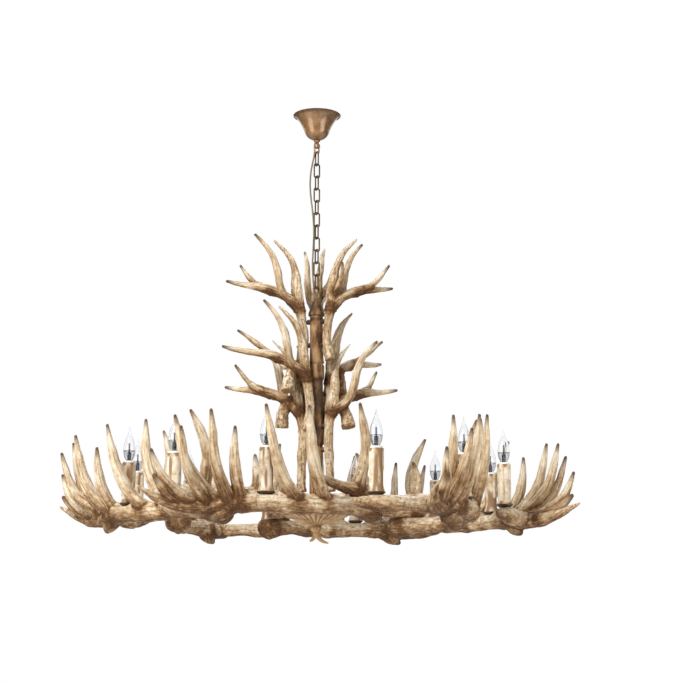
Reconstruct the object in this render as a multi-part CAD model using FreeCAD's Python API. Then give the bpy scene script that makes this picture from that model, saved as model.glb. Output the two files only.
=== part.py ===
import FreeCAD
import Part
import math
import os

# Antler chandelier in moulded resin: ceiling canopy, chain and cable, three-tube column with
# three tiers of crown antlers, and a ring of six large antlers that carries twelve candle lamps.
# Millimetres. Origin at the centre of the canopy rim on the ceiling, +Z up, +Y away from the front.

# Ceiling fixing
canopy_dia = 143.0
canopy_height = 77.0
canopy_wall = 1.2
canopy_lip = 3.0
canopy_waist_dia = 74.0
canopy_waist_drop = 54.0
bracket_length = 104.0
bracket_width = 24.0
bracket_thickness = 2.5
bracket_hole_dia = 5.5
bracket_hole_spacing = 76.0
nipple_dia = 10.0
nipple_bore = 6.0
nut_flats = 17.0
nut_height = 6.0
terminal_length = 18.0
terminal_width = 16.0
terminal_height = 13.0

# Chain and its two eyes
wire_dia = 4.5
link_width = 22.0
link_count = 11
chain_pitch = 37.7
link_gap = 0.3
link_corner = 6.5
chain_yaw = 28.0
eye_width = 18.0
eye_length = 19.5
eye_corner = 5.5
loop_neck_dia = 20.0
loop_neck_height = 25.0
column_neck_dia = 11.0
column_neck_height = 26.0
eye_spigot_dia = 8.0
eye_spigot_length = 14.0

# Cable, kept in the groove between the two directions of the links
cable_dia = 5.0
cable_side = chain_yaw + 135.0
cable_start_radius = 7.2
cable_end_radius = 8.3

# Column
cap_top_dia = 25.0
cap_dia = 48.0
cap_height = 42.0
cap_lip = 7.0
cap_spigot = 12.0
tube_dia = 39.0
tube_wall = 3.0
tube_length = 146.0
tube_count = 3
collar_dia = 47.0
collar_height = 45.0
collar_web = 8.0
rod_dia = 10.0

# Hub
boss_dia = 58.0
boss_height = 42.0
boss_socket = 22.0
plate_dia = 200.0
plate_thickness = 6.0
corona_dia = 208.0
corona_rim = 11.0
corona_height = 40.0
corona_flutes = 30
flute_dia = 9.0
finial_bead_dia = 36.0
finial_bead_height = 18.0
finial_length = 51.0
prong_root_dia = 13.0

# Antler castings
leg_dia = 27.0
stub_dia = 41.0
ring_beam_dia = 50.0
spoke_dia = 42.0
tip_dia = 5.0
ring_count = 6
ring_start = 178.0
ring_reach = 755.0

# Fixings of the antlers
seat_share = 0.85
stud_dia = 8.0
standoff_dia = 15.0
standoff_length = 9.0
stud_grip = 9.0
stud_high = -41.0
stud_low = -110.0
pin_depth = 20.0
fit_gap = 0.1

# Candle lamps
candle_radius = 545.0
dish_dia = 48.0
dish_foot_dia = 30.0
dish_height = 9.0
dish_floor = 3.5
dish_share = 0.72
sleeve_dia = 36.0
sleeve_wall = 1.8
sleeve_height = 118.0
stem_dia = 10.0
stem_bore = 6.0
stem_grip = 20.0
holder_dia = 27.0
holder_depth = 42.0
holder_flange = 5.0
holder_flange_dia = 33.0
holder_base = 8.0
cap_screw_dia = 14.0
cap_screw_length = 20.0
bulb_dia = 35.0
bulb_height = 97.0
bulb_wall = 0.8
bulb_neck_dia = 15.0
mount_dia = 11.0
mount_height = 24.0
filament_dia = 4.0
filament_height = 26.0

os.makedirs("parts", exist_ok=True)
V = FreeCAD.Vector
UP = V(0, 0, 1)
OUT = V(1, 0, 0)
ORIGIN = V(0, 0, 0)


def save(name, shape):
    shape.exportStep("parts/" + name + ".step")


def polar(angle, radius, height):
    a = math.radians(angle)
    return V(radius * math.cos(a), radius * math.sin(a), height)


def turn(shape, angle, x=0.0, y=0.0, z=0.0):
    copy = shape.copy()
    copy.rotate(ORIGIN, UP, angle)
    copy.translate(V(x, y, z))
    return copy


def rod(dia, low, high, x=0.0, y=0.0):
    return Part.makeCylinder(dia / 2, high - low, V(x, y, low), UP)


def tube(dia, bore, low, high):
    return rod(dia, low, high).cut(rod(bore, low - 1, high + 1))


def turned(corners):
    # Solid of revolution about Z from (radius, height) corners.
    points = [V(r, 0, z) for r, z in corners]
    return Part.Face(Part.makePolygon(points + [points[0]])).revolve(ORIGIN, UP, 360)


def tangent_arcs(corners, heading, inset):
    # Arcs through (radius, height) corners, each tangent to the one before, drawn in by the inset.
    edges = []
    for (r0, z0), (r1, z1) in zip(corners, corners[1:]):
        chord = math.atan2(z1 - z0, r1 - r0)
        half = math.hypot(r1 - r0, z1 - z0) / 2
        bulge = half * math.tan((chord - heading) / 2)
        middle = V((r0 + r1) / 2 + bulge * math.sin(chord), 0, (z0 + z1) / 2 - bulge * math.cos(chord))
        ahead = 2 * chord - heading
        ends = [V(r0, 0, z0), middle, V(r1, 0, z1)]
        for point, way in zip(ends, (heading, chord, ahead)):
            point.x -= inset * math.sin(way)
            point.z += inset * math.cos(way)
        edges.append(Part.Arc(*ends).toShape())
        heading = ahead
    return edges


def closed_turning(edges):
    # Solid of revolution of an open profile, closed along the axis.
    first = edges[0].Vertexes[0].Point
    last = edges[-1].Vertexes[-1].Point
    low = V(0, 0, first.z)
    high = V(0, 0, last.z)
    sides = [Part.makeLine(low, first), Part.makeLine(last, high), Part.makeLine(high, low)]
    wire = Part.Wire(Part.__sortEdges__(edges + sides))
    return Part.Face(wire).revolve(ORIGIN, UP, 360)


def wire_loop(width, length, corner, yaw, z):
    # Closed round-cornered loop of round wire, standing upright; sizes are to the wire's centre.
    w = width / 2
    h = length / 2
    s = corner * (1 - math.sqrt(0.5))
    half = [(w, h - corner), (w - s, h - s), (w - corner, h), (corner - w, h), (s - w, h - s), (-w, h - corner)]
    p = [V(x, 0, y) for x, y in half] + [V(-x, 0, -y) for x, y in half]
    edges = []
    for i in (0, 3, 6, 9):
        edges.append(Part.Arc(p[i], p[i + 1], p[i + 2]).toShape())
        edges.append(Part.makeLine(p[i + 2], p[(i + 3) % 12]))
    circle = Part.Circle(p[0], UP, wire_dia / 2).toShape()
    loop = Part.Wire(edges).makePipeShell([Part.Wire(circle)], True, False)
    return turn(loop, yaw, z=z)


def horn(points, rings, dia_at):
    # Round horn along a smooth curve; dia_at gives its diameter at a share of the way along.
    curve = Part.BSplineCurve()
    curve.interpolate(points)
    first = curve.FirstParameter
    span = curve.LastParameter - first
    side = curve.tangent(first)[0].cross(V(0.31, 0.87, 0.38))
    sections = []
    for i in range(rings):
        share = i / (rings - 1)
        ahead = curve.tangent(first + span * share)[0]
        side = (side - ahead * side.dot(ahead)).normalize()
        ring = Part.makeCircle(dia_at(share) / 2, ORIGIN, UP)
        ring.Placement = FreeCAD.Placement(
            curve.value(first + span * share), FreeCAD.Rotation(side, V(), ahead, "ZXY"))
        sections.append(Part.Wire(ring))
    return Part.makeLoft(sections, True, True)


def beam(points, dias, rings):
    # Main stem, its diameter graded evenly through the given ones.
    steps = len(dias) - 1

    def dia_at(share):
        i = min(int(share * steps), steps - 1)
        return dias[i] + (dias[i + 1] - dias[i]) * (share * steps - i)

    return horn(points, rings, dia_at)


def tine(points, root, rings=7):
    # Tine with a swollen root and a slow taper that quickens towards its tip.
    def dia_at(share):
        return tip_dia + (root - tip_dia) * (1 - share ** 1.9) + 0.1 * root * math.exp(-14 * share)

    return horn(points, rings, dia_at)


# Heights, from the ceiling down
neck_top = -canopy_height
neck_low = neck_top - loop_neck_height
eye_low = neck_low - eye_length + wire_dia / 2
hook = wire_dia + link_gap
link_length = chain_pitch + hook
first_link = eye_low + hook - link_length / 2
last_link = first_link - chain_pitch * (link_count - 1)
column_eye_low = last_link - link_length / 2 + hook - eye_length
cap_top = column_eye_low - column_neck_height
cap_low = cap_top - cap_height
collar_tops = [cap_low - tube_length * i - collar_height * (i - 1) for i in range(1, tube_count)]
boss_top = cap_low - tube_length * tube_count - collar_height * (tube_count - 1)
plate_top = boss_top - boss_height
plate_low = plate_top - plate_thickness
corona_low = plate_low - corona_height
finial_low = corona_low - finial_length
spoke_axis = plate_top + seat_share * spoke_dia / 2
ring_axis = plate_top - seat_share * ring_beam_dia / 2
dish_low = ring_axis + dish_share * ring_beam_dia / 2
dish_top = dish_low + dish_height
sleeve_low = dish_low + dish_floor
sleeve_top = sleeve_low + sleeve_height
flange_top = sleeve_top + holder_flange

# Ceiling bracket, nipple, nut and terminal block inside the canopy
bracket = Part.makeBox(
    bracket_length, bracket_width, bracket_thickness,
    V(-bracket_length / 2, -bracket_width / 2, -bracket_thickness))
bracket = bracket.cut(rod(nipple_dia, -bracket_thickness - 1, 1))
for side in (-1, 1):
    bracket = bracket.cut(
        rod(bracket_hole_dia, -bracket_thickness - 1, 1, side * bracket_hole_spacing / 2))
save("ceiling_bracket", bracket)

nipple_low = neck_top - loop_neck_height * 0.6
save("threaded_nipple", tube(nipple_dia, nipple_bore, nipple_low, -bracket_thickness * 0.2))

nut_high = -bracket_thickness
nut_low = nut_high - nut_height
nut_corner = nut_flats / math.sqrt(3)
hexagon = [polar(60 * i, nut_corner, nut_low) for i in range(7)]
nut = Part.Face(Part.makePolygon(hexagon)).extrude(V(0, 0, nut_height))
save("bracket_nut", nut.cut(rod(nipple_dia, nut_low - 1, nut_high + 1)))

terminal = Part.makeBox(
    terminal_length, terminal_width, terminal_height,
    V(nut_corner + 1, -terminal_width / 2, nut_high - terminal_height))
save("terminal_block", terminal)

# Bell canopy: a flared and a rounded arc given a wall, with a rolled lip
bell = [
    (canopy_dia / 2 - canopy_lip, 0), (canopy_waist_dia / 2, -canopy_waist_drop),
    (nipple_dia / 2 + fit_gap, -canopy_height)]
flare = math.radians(-132)
canopy = closed_turning(tangent_arcs(bell, flare, 0.0))
canopy = canopy.cut(closed_turning(tangent_arcs(bell, flare, -canopy_wall)))
canopy = canopy.cut(rod(nipple_dia + 2 * fit_gap, -canopy_height - 1, 1))
lip_ring = Part.makeTorus(
    canopy_dia / 2 - canopy_lip / 2, canopy_lip / 2, V(0, 0, -canopy_lip / 2), UP)
save("canopy", canopy.fuse(lip_ring))

# Canopy loop: turned neck with a bead, screwed on the nipple, and its eye
neck_r = loop_neck_dia / 2
neck = turned([
    (0, neck_top), (neck_r * 0.8, neck_top), (neck_r, neck_top - loop_neck_height * 0.16),
    (neck_r * 0.74, neck_top - loop_neck_height * 0.34), (neck_r, neck_top - loop_neck_height * 0.6),
    (neck_r, neck_low), (0, neck_low)])
eye_span = eye_width - wire_dia
loop_eye = wire_loop(eye_span, eye_length, eye_corner, chain_yaw, eye_low + eye_length / 2)
save("canopy_loop", neck.fuse(loop_eye).cut(rod(nipple_dia, nipple_low, neck_top + 1)))

# Chain, every other link turned by a right angle
links = []
for i in range(link_count):
    yaw = chain_yaw + 90 * ((i + 1) % 2)
    links.append(wire_loop(
        link_width - wire_dia, link_length, link_corner, yaw, first_link - chain_pitch * i))
save("chain_link_top", links[0])
save("chain_links", Part.makeCompound(links[1:-1]))
save("chain_link_bottom", links[-1])

# Cable: leaves the neck, bows out beside the chain and enters the cap; (radius, height) of its turns
cable_turns = [
    (11.5, -139), (18.5, -172), (21.5, -212), (19, -253), (13.5, -294), (9.5, -336), (8.8, -378),
    (11, -420), (13, -460), (11.5, -498), (9, -532)]
cable_points = [polar(cable_side, cable_start_radius, neck_low)]
cable_points.append(polar(cable_side, cable_start_radius, neck_low - 16))
cable_points += [polar(cable_side + 3 * math.sin(z / 40), r, z) for r, z in cable_turns]
cable_points.append(polar(cable_side, cable_end_radius, cap_top + 19))
cable_points.append(polar(cable_side, cable_end_radius, cap_top))
cable_edges = []
run_start = cable_points[0]
for before, corner, after in zip(cable_points, cable_points[1:], cable_points[2:]):
    back = before - corner
    ahead = after - corner
    bend = math.pi - back.getAngle(ahead)
    reach = 0.45 * min(back.Length, ahead.Length)
    radius = reach / math.tan(bend / 2)
    back.normalize()
    ahead.normalize()
    inward = (back + ahead).normalize()
    crest = corner + inward * (radius / math.cos(bend / 2) - radius)
    cable_edges.append(Part.makeLine(run_start, corner + back * reach))
    cable_edges.append(Part.Arc(corner + back * reach, crest, corner + ahead * reach).toShape())
    run_start = corner + ahead * reach
    print("cable bend radius", round(radius, 1))
cable_edges.append(Part.makeLine(run_start, cable_points[-1]))
cable_path = Part.Wire(cable_edges)
cable_end = Part.Circle(cable_points[0], UP, cable_dia / 2).toShape()
cable = cable_path.makePipeShell([Part.Wire(cable_end)], True, False)
print("cable length", round(cable_path.Length, 1))
print("cable volume by section and length",
      round(cable.Volume / (math.pi * cable_dia ** 2 / 4 * cable_path.Length), 4))
save("power_cable", cable)

# Column: eye, cone cap, three tubes, two collars and the tie rod through them
column_neck_r = column_neck_dia / 2
neck_high = column_eye_low + wire_dia / 2
column_neck = turned([
    (0, cap_top), (column_neck_r, cap_top), (column_neck_r, cap_top + column_neck_height * 0.4),
    (column_neck_r * 0.75, cap_top + column_neck_height * 0.55), (column_neck_r, neck_high), (0, neck_high)])
column_loop = wire_loop(eye_span, eye_length, eye_corner, chain_yaw, column_eye_low + eye_length / 2)
eye_spigot = rod(eye_spigot_dia, cap_top - eye_spigot_length, cap_top)
save("column_eye", column_neck.fuse([column_loop, eye_spigot]))

tube_r = tube_dia / 2
tube_bore = tube_dia - 2 * tube_wall
rod_high = cap_top - eye_spigot_length - 2
cap = turned([
    (0, cap_top), (cap_top_dia / 2, cap_top), (cap_dia / 2, cap_low + cap_lip), (cap_dia / 2, cap_low),
    (tube_bore / 2 - fit_gap, cap_low), (tube_bore / 2 - fit_gap, cap_low - cap_spigot),
    (0, cap_low - cap_spigot)])
cap = cap.cut(rod(eye_spigot_dia, cap_top - eye_spigot_length, cap_top + 1))
save("column_cap", cap.cut(rod(rod_dia, cap_low - cap_spigot - 1, rod_high)))

socket = (collar_height - collar_web) / 2
for i, high in enumerate(collar_tops):
    low = high - collar_height
    chamfer = collar_height * 0.12
    collar = turned([
        (0, high), (tube_r + 1.5, high), (collar_dia / 2, high - chamfer), (collar_dia / 2, low + chamfer),
        (tube_r + 1.5, low), (0, low)])
    collar = collar.cut(rod(tube_dia, high - socket, high + 1))
    collar = collar.cut(rod(tube_dia, low - 1, low + socket))
    save("column_collar_%d" % (i + 1), collar.cut(rod(tube_bore, low, high)))

# Hub: boss and plate, fluted corona bowl and the finial with its two prongs
plate = rod(plate_dia, plate_low, plate_top).fuse(rod(boss_dia, plate_top, boss_top))
plate = plate.cut(rod(tube_dia, boss_top - boss_socket, boss_top + 1))
plate = plate.cut(rod(rod_dia, plate_low - 1, boss_top))

corona_r = corona_dia / 2
bead_r = finial_bead_dia / 2
corona = turned([
    (0, plate_low), (corona_r * 0.96, plate_low), (corona_r, plate_low - corona_rim * 0.5),
    (corona_r * 0.93, plate_low - corona_rim), (corona_r * 0.55, plate_low - corona_height * 0.62),
    (bead_r * 0.95, corona_low), (0, corona_low)])
flute_from = V(bead_r * 0.95 + flute_dia, 0, corona_low - flute_dia * 0.1)
flute_to = V(corona_r + flute_dia, 0, plate_low - corona_rim * 0.75)
flute = Part.makeCylinder(flute_dia / 2, (flute_to - flute_from).Length, flute_from, flute_to - flute_from)
corona = corona.cut([turn(flute, 360.0 * i / corona_flutes) for i in range(corona_flutes)])
save("hub_corona", corona.cut(rod(rod_dia, corona_low - 1, plate_low + 1)))

bead_low = corona_low - finial_bead_height
prong_top = V(0, 0, bead_low - 2)
bead = turned([
    (0, corona_low), (bead_r * 0.8, corona_low), (bead_r, corona_low - finial_bead_height * 0.35),
    (bead_r * 0.85, corona_low - finial_bead_height * 0.7), (prong_root_dia * 0.62, bead_low),
    (prong_root_dia * 0.58, bead_low - 9), (0, bead_low - 9)])
left_prong = tine([prong_top, V(-5, 0, bead_low - 16), V(-17, -3, finial_low + 7)], prong_root_dia)
right_prong = tine([prong_top, V(9, 0, bead_low - 18), V(36, 4, finial_low + 2)], prong_root_dia)
rod_low = corona_low - finial_bead_height * 0.6
save("finial", bead.fuse([left_prong, right_prong]).cut(rod(rod_dia, rod_low, corona_low + 1)))
save("tie_rod", rod(rod_dia, rod_low, rod_high))


def crown_antler(foot, lean, stubbed, reach, hand):
    # Leg beside the column, forward tine and a forked tine, in (outward, sideways, up) from its seat.
    def place(rows):
        return [V(x, y * hand, z) for x, y, z in rows]

    leg = place([(5, lean, foot), (0, 0, -112), (2, 0, -40), (9, 0, 4), (15, 2, 44), (21, -4, 96),
                 (41, -12, 158), (88, -22, 212)])
    leg_dias = [leg_dia * 1.2, leg_dia, leg_dia, leg_dia, leg_dia, leg_dia * 0.9, leg_dia * 0.66, tip_dia]
    forward = place([(12, 0, 8), (50, 14, 42), (74, 24, 100), (100, 30, 162), (144, 38, 216)])
    fork = place([(8, 0, -4), (46, -4, 30), (106, -8, 56), (172 + reach * 0.6, -6, 70), (228 + reach, 0, 82)])
    prong = place([(92, -7, 51), (144, -26, 92), (188 + reach * 0.6, -46, 140)])
    limbs = [tine(forward, 25), tine(fork, 28), tine(prong, 19, 6)]
    if stubbed:
        stub = place([(42, -4, 28), (60, 0, -8), (66, 6, -44)])
        limbs.append(beam(stub, [stub_dia * 0.78, stub_dia * 0.9, stub_dia], 4))
    else:
        limbs.append(tine(place([(20, 0, 36), (25, -30, 84), (22, -46, 132)]), 17, 6))
    return beam(leg, leg_dias, 11).fuse(limbs)


# Crown tiers: height of the seats, casting, and the seat angle and facing of each antler
crown_tiers = [
    ((cap_top + cap_low) / 2, crown_antler(-158, -6, False, 0, 1), [(186, 181), (324, 30), (88, 90)]),
    (collar_tops[0] - 43, crown_antler(-158, 4, True, 30, 1), [(240, 192), (34, 50), (142, 110)]),
    (collar_tops[1] + 50, crown_antler(-232, 4, True, 10, -1), [(190, 166), (336, 30), (94, 80)])]
seat_plane = tube_r + standoff_length
seat_radius = seat_plane + seat_share * leg_dia / 2
stud_in = tube_r - tube_wall - 2
stud = Part.makeCylinder(stud_dia / 2, seat_plane + stud_grip - stud_in, V(stud_in, 0, 0), OUT)
standoff = stud.fuse(Part.makeCylinder(standoff_dia / 2, standoff_length, V(tube_r, 0, 0), OUT))
spot_face = Part.makeCylinder(standoff_dia / 2 + fit_gap, leg_dia, V(seat_plane - leg_dia, 0, 0), OUT)
pocket = spot_face.fuse(stud)
standoffs = []
stud_holes = []
for tier, (seat_height, casting, places) in enumerate(crown_tiers):
    for side, (seat, facing) in zip(("left", "right", "back"), places):
        at = polar(seat, seat_radius, seat_height)
        antler = turn(casting, facing, at.x, at.y, at.z)
        for height in (seat_height + stud_high, seat_height + stud_low):
            antler = antler.cut(turn(pocket, seat, z=height))
            standoffs.append(turn(standoff, seat, z=height))
            stud_holes.append(turn(stud, seat, z=height))
        save("crown_antler_%d_%s" % (tier + 1, side), antler)
save("crown_standoffs", Part.makeCompound(standoffs))

for i in range(tube_count):
    top = cap_low - (tube_length + collar_height) * i
    high = top + (socket if i > 0 else 0)
    low = top - tube_length - (socket if i < tube_count - 1 else boss_socket)
    save("column_tube_%d" % (i + 1), tube(tube_dia, tube_bore, low, high).cut(stud_holes))

# Ring antler, in (angle, outward of the lamps, up from its axis): a long beam with a round burr at its
# inner end, a fan of tines, two tall tines, a palm below the fan and an arm for the second lamp
def on_ring(rows):
    return [polar(angle, candle_radius + outward, ring_axis + rise) for angle, outward, rise in rows]


main_d = ring_beam_dia
fan = ring_reach - candle_radius
ring_path = on_ring([
    (53, -143, -6), (44, -105, 0), (31, -53, 0), (18.5, 0, 0), (8, 37, -4), (1, 89, -8), (-3, 150, 6),
    (-4.5, fan, 36)])
ring_beam = beam(ring_path, [
    main_d * 1.16, main_d * 0.98, main_d * 0.96, main_d, main_d * 1.12, main_d * 0.92, main_d * 0.6,
    tip_dia * 1.6], 13)
ring_limbs = [
    beam(on_ring([(51.5, -136, -6), (54, -147, -7), (56.5, -158, -6)]),
         [main_d * 1.06, main_d * 1.24, main_d * 1.16, main_d * 0.6], 7),
    tine(on_ring([(0, 95, -4), (-1, 145, 22), (-1.5, fan - 17, 62)]), 28),
    tine(on_ring([(2.5, 75, -4), (-0.3, 151, 46), (-2, fan - 13, 128)]), 30),
    tine(on_ring([(5, 57, -2), (4.6, 138, 68), (4.5, fan - 23, 182)]), 32),
    tine(on_ring([(7, 43, -2), (3.6, 115, 80), (1.5, fan - 51, 215)]), 34),
    tine(on_ring([(9.5, 33, -2), (9.5, 102, 85), (9.5, fan - 65, 226)]), 34),
    tine(on_ring([(12.5, 21, -2), (12.7, 59, 70), (13, 85, 188)]), 32),
    tine(on_ring([(27, -37, 0), (23, 20, 82), (20, 67, 245)]), 36),
    tine(on_ring([(35, -68, 0), (32, -35, 105), (30, -15, 252)]), 38),
    tine(on_ring([(9, 31, -4), (8, 37, -24), (5, 51, -46)]), 44, 5),
    beam(on_ring([(4, 61, -3), (-5, 25, -3), (-13, 2, 0), (-17.5, -7, 0)]),
         [main_d * 0.76, main_d * 0.76, main_d * 0.94, main_d * 0.5], 7)]


# Spoke antler: lies on the hub plate and on the ring beam, ends in a tusk and bears two tines
def on_spoke(rows):
    return [polar(angle, candle_radius + outward, spoke_axis + rise) for angle, outward, rise in rows]


spoke_d = spoke_dia
spoke_path = [polar(62, boss_dia / 2 + 16, spoke_axis), polar(61, 150, spoke_axis)]
spoke_path += on_spoke([(58, -275, 3), (53, -179, 0), (46, -115, 0), (38, -94, 18), (30, -101, 48)])
spoke_beam = beam(
    spoke_path,
    [spoke_d * 0.94, spoke_d, spoke_d * 1.05, spoke_d * 1.1, spoke_d * 1.02, spoke_d * 0.72, tip_dia * 1.5], 12)
spoke_limbs = [
    tine(on_spoke([(46, -115, 0), (49, -109, 112), (46, -71, 228)]), 36),
    tine(on_spoke([(58, -257, 0), (57.5, -255, 62), (55, -265, 118)]), 28)]

# Flat seats: spoke on plate, spoke on ring beam, drip dishes on beam and arm
joint = polar(50, candle_radius - 130, plate_top)
joint_dia = 190.0
spoke = spoke_beam.fuse(spoke_limbs)
spoke = spoke.cut(rod(plate_dia + 20, plate_top - spoke_dia, plate_top))
spoke = spoke.cut(rod(joint_dia, plate_top - spoke_dia, plate_top, joint.x, joint.y))
ring = ring_beam.fuse(ring_limbs)
ring = ring.cut(rod(joint_dia, plate_top, plate_top + main_d, joint.x, joint.y))
lamp_places = [polar(18.5, candle_radius, 0), polar(-11.5, candle_radius, 0)]
for lamp in lamp_places:
    ring = ring.cut(rod(dish_dia + 2, dish_low, dish_low + main_d, lamp.x, lamp.y))
    ring = ring.cut(rod(stem_dia, dish_low - stem_grip, dish_low + 1, lamp.x, lamp.y))

pins = []
for angle, outward in ((49, -127), (43, -102)):
    at = polar(angle, candle_radius + outward, plate_top)
    pins.append(rod(stud_dia, plate_top - pin_depth, plate_top + pin_depth, at.x, at.y))
screws = []
for radius in (plate_dia * 0.32, plate_dia * 0.44):
    at = polar(61.6, radius, plate_low)
    screws.append(rod(stud_dia, plate_low, plate_top + pin_depth, at.x, at.y))
ring = ring.cut(pins)
spoke = spoke.cut(pins + screws)

ring_pins = []
hub_screws = []
for i in range(ring_count):
    angle = ring_start + 360.0 * i / ring_count
    save("ring_antler_%d" % (i + 1), turn(ring, angle))
    save("spoke_antler_%d" % (i + 1), turn(spoke, angle))
    ring_pins += [turn(pin, angle) for pin in pins]
    hub_screws += [turn(screw, angle) for screw in screws]
save("ring_pins", Part.makeCompound(ring_pins))
save("hub_screws", Part.makeCompound(hub_screws))
save("hub_plate", plate.cut(hub_screws))

# One candle lamp: drip dish, stem, sleeve, lamp holder and a flame-tip bulb
dish_r = dish_dia / 2
dish_rim = 1.5
dish = turned([
    (0, dish_low), (dish_foot_dia / 2, dish_low), (dish_r, dish_top - dish_rim), (dish_r, dish_top),
    (dish_r - dish_rim, dish_top), (sleeve_dia / 2 + 1, sleeve_low), (0, sleeve_low)])
dish = dish.cut(rod(stem_dia, dish_low - 1, dish_top))
holder_low = flange_top - holder_depth
stem = tube(stem_dia, stem_bore, dish_low - stem_grip, holder_low + holder_base)
sleeve = tube(sleeve_dia, sleeve_dia - 2 * sleeve_wall, sleeve_low, sleeve_top)
holder = rod(holder_dia, holder_low, sleeve_top).fuse(rod(holder_flange_dia, sleeve_top, flange_top))
holder = holder.cut(rod(cap_screw_dia, flange_top - cap_screw_length, flange_top + 1))
holder = holder.cut(rod(stem_dia, holder_low - 1, holder_low + holder_base))
bulb_cap = rod(cap_screw_dia, flange_top - cap_screw_length, flange_top)
mount_top = flange_top + mount_height
mount = rod(mount_dia, flange_top, mount_top).fuse(rod(filament_dia, mount_top, mount_top + filament_height))
flame = [
    (bulb_neck_dia / 2, flange_top), (bulb_dia / 2, flange_top + bulb_height * 0.31),
    (bulb_dia * 0.23, flange_top + bulb_height * 0.72), (bulb_dia * 0.035, flange_top + bulb_height)]
rise = math.atan2(flame[1][1] - flame[0][1], flame[1][0] - flame[0][0])
swell = 2 * rise - math.pi / 2
hollow = closed_turning(tangent_arcs(flame, swell, bulb_wall))
hollow = hollow.common(rod(bulb_dia, flange_top - bulb_height, flange_top + bulb_height * 0.96))
glass = closed_turning(tangent_arcs(flame, swell, 0.0)).cut([hollow, mount])
lamp_pieces = {
    "drip_dishes": dish, "candle_stems": stem, "candle_sleeves": sleeve, "lamp_holders": holder,
    "bulb_caps": bulb_cap, "bulb_mounts": mount, "bulb_glass": glass}
for name, piece in lamp_pieces.items():
    copies = []
    for i in range(ring_count):
        for lamp in lamp_places:
            copies.append(turn(turn(piece, 0, lamp.x, lamp.y), ring_start + 360.0 * i / ring_count))
    save(name, Part.makeCompound(copies))
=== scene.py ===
import math
import bpy
import numpy as np
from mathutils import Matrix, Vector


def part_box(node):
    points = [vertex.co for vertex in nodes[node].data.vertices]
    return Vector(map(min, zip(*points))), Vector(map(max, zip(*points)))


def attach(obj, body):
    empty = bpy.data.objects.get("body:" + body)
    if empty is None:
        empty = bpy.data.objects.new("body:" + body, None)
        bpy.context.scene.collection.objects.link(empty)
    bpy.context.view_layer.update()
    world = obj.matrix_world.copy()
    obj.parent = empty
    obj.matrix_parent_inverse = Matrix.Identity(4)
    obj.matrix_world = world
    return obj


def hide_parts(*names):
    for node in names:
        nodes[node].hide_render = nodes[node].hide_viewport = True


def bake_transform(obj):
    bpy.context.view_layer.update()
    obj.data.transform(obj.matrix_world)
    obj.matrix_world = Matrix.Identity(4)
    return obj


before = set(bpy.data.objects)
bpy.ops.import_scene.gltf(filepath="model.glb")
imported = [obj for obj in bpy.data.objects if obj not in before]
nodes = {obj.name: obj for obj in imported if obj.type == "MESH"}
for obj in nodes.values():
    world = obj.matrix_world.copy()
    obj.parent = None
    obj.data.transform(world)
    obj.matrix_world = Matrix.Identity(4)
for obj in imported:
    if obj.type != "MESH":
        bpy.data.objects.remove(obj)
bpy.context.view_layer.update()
mm = 0.001
fullTurn = 2 * math.pi
print("frame loaded")


def addToScene(item):
    bpy.context.scene.collection.objects.link(item)


def finishedMesh(item):
    # the item's mesh after its modifiers; the item itself goes
    graph = bpy.context.evaluated_depsgraph_get()
    mesh = bpy.data.meshes.new_from_object(item.evaluated_get(graph))
    bpy.data.objects.remove(item)
    return mesh


# Shader maths

class Field:
    # one output socket of a node tree; sums and products of fields add Math nodes
    def __init__(self, tree, socket=None):
        self.tree = tree
        self.socket = socket

    def node(self, kind, sockets, out=0, **settings):
        # adds a node and gives one of its outputs
        made = self.tree.nodes.new(kind)
        for key, value in settings.items():
            setattr(made, key, value)
        for key, value in sockets.items():
            if isinstance(value, Field):
                self.tree.links.new(value.socket, made.inputs[key])
            else:
                made.inputs[key].default_value = value
        return None if out is None else Field(self.tree, made.outputs[out])

    def calc(self, operation, a, b):
        return self.node("ShaderNodeMath", {0: a, 1: b}, operation=operation)

    def __add__(self, other):
        return self.calc("ADD", self, other)

    def __sub__(self, other):
        return self.calc("SUBTRACT", self, other)

    def __mul__(self, other):
        return self.calc("MULTIPLY", self, other)

    def __rsub__(self, other):
        return self.calc("SUBTRACT", other, self)

    __radd__ = __add__
    __rmul__ = __mul__

    def spread(self, low, rise):
        # low where this is 0, low + rise where it is 1
        return low + rise * self

    def step(self, low, high):
        # smooth rise from 0 to 1 between two values
        return self.node("ShaderNodeMapRange", {"Value": self, "From Min": low, "From Max": high},
                         interpolation_type="SMOOTHSTEP")

    def ramp(self, stops):
        # colour at this value, blended between stops of (value, colour)
        made = self.tree.nodes.new("ShaderNodeValToRGB")
        self.tree.links.new(self.socket, made.inputs["Fac"])
        knots = made.color_ramp.elements
        for end in (0, -1):
            knots[end].position = stops[end][0]
            knots[end].color = (*stops[end][1], 1)
        for place, colour in stops[1:-1]:
            knots.new(place).color = (*colour, 1)
        return Field(self.tree, made.outputs["Color"])

    def mixed(self, share, one, other):
        return self.node("ShaderNodeMix", {0: share, 6: one, 7: other}, 2, data_type="RGBA")

    def noises(self, place, look, *names):
        # one noise for each name, with the look's (scale, detail, roughness)
        return [self.node("ShaderNodeTexNoise", {"Vector": place, "Scale": scale, "Detail": detail,
                                                 "Roughness": rough})
                for scale, detail, rough in [look[name] for name in names]]

    def objectPlace(self):
        return self.node("ShaderNodeTexCoord", {}, "Object")

    def attribute(self, name, out="Fac"):
        # what a mesh keeps for each vertex under a name
        return self.node("ShaderNodeAttribute", {}, out, attribute_name=name)


def summed(total, fields, shares):
    for field, share in zip(fields, shares):
        total = total + field * share
    return total


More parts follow.
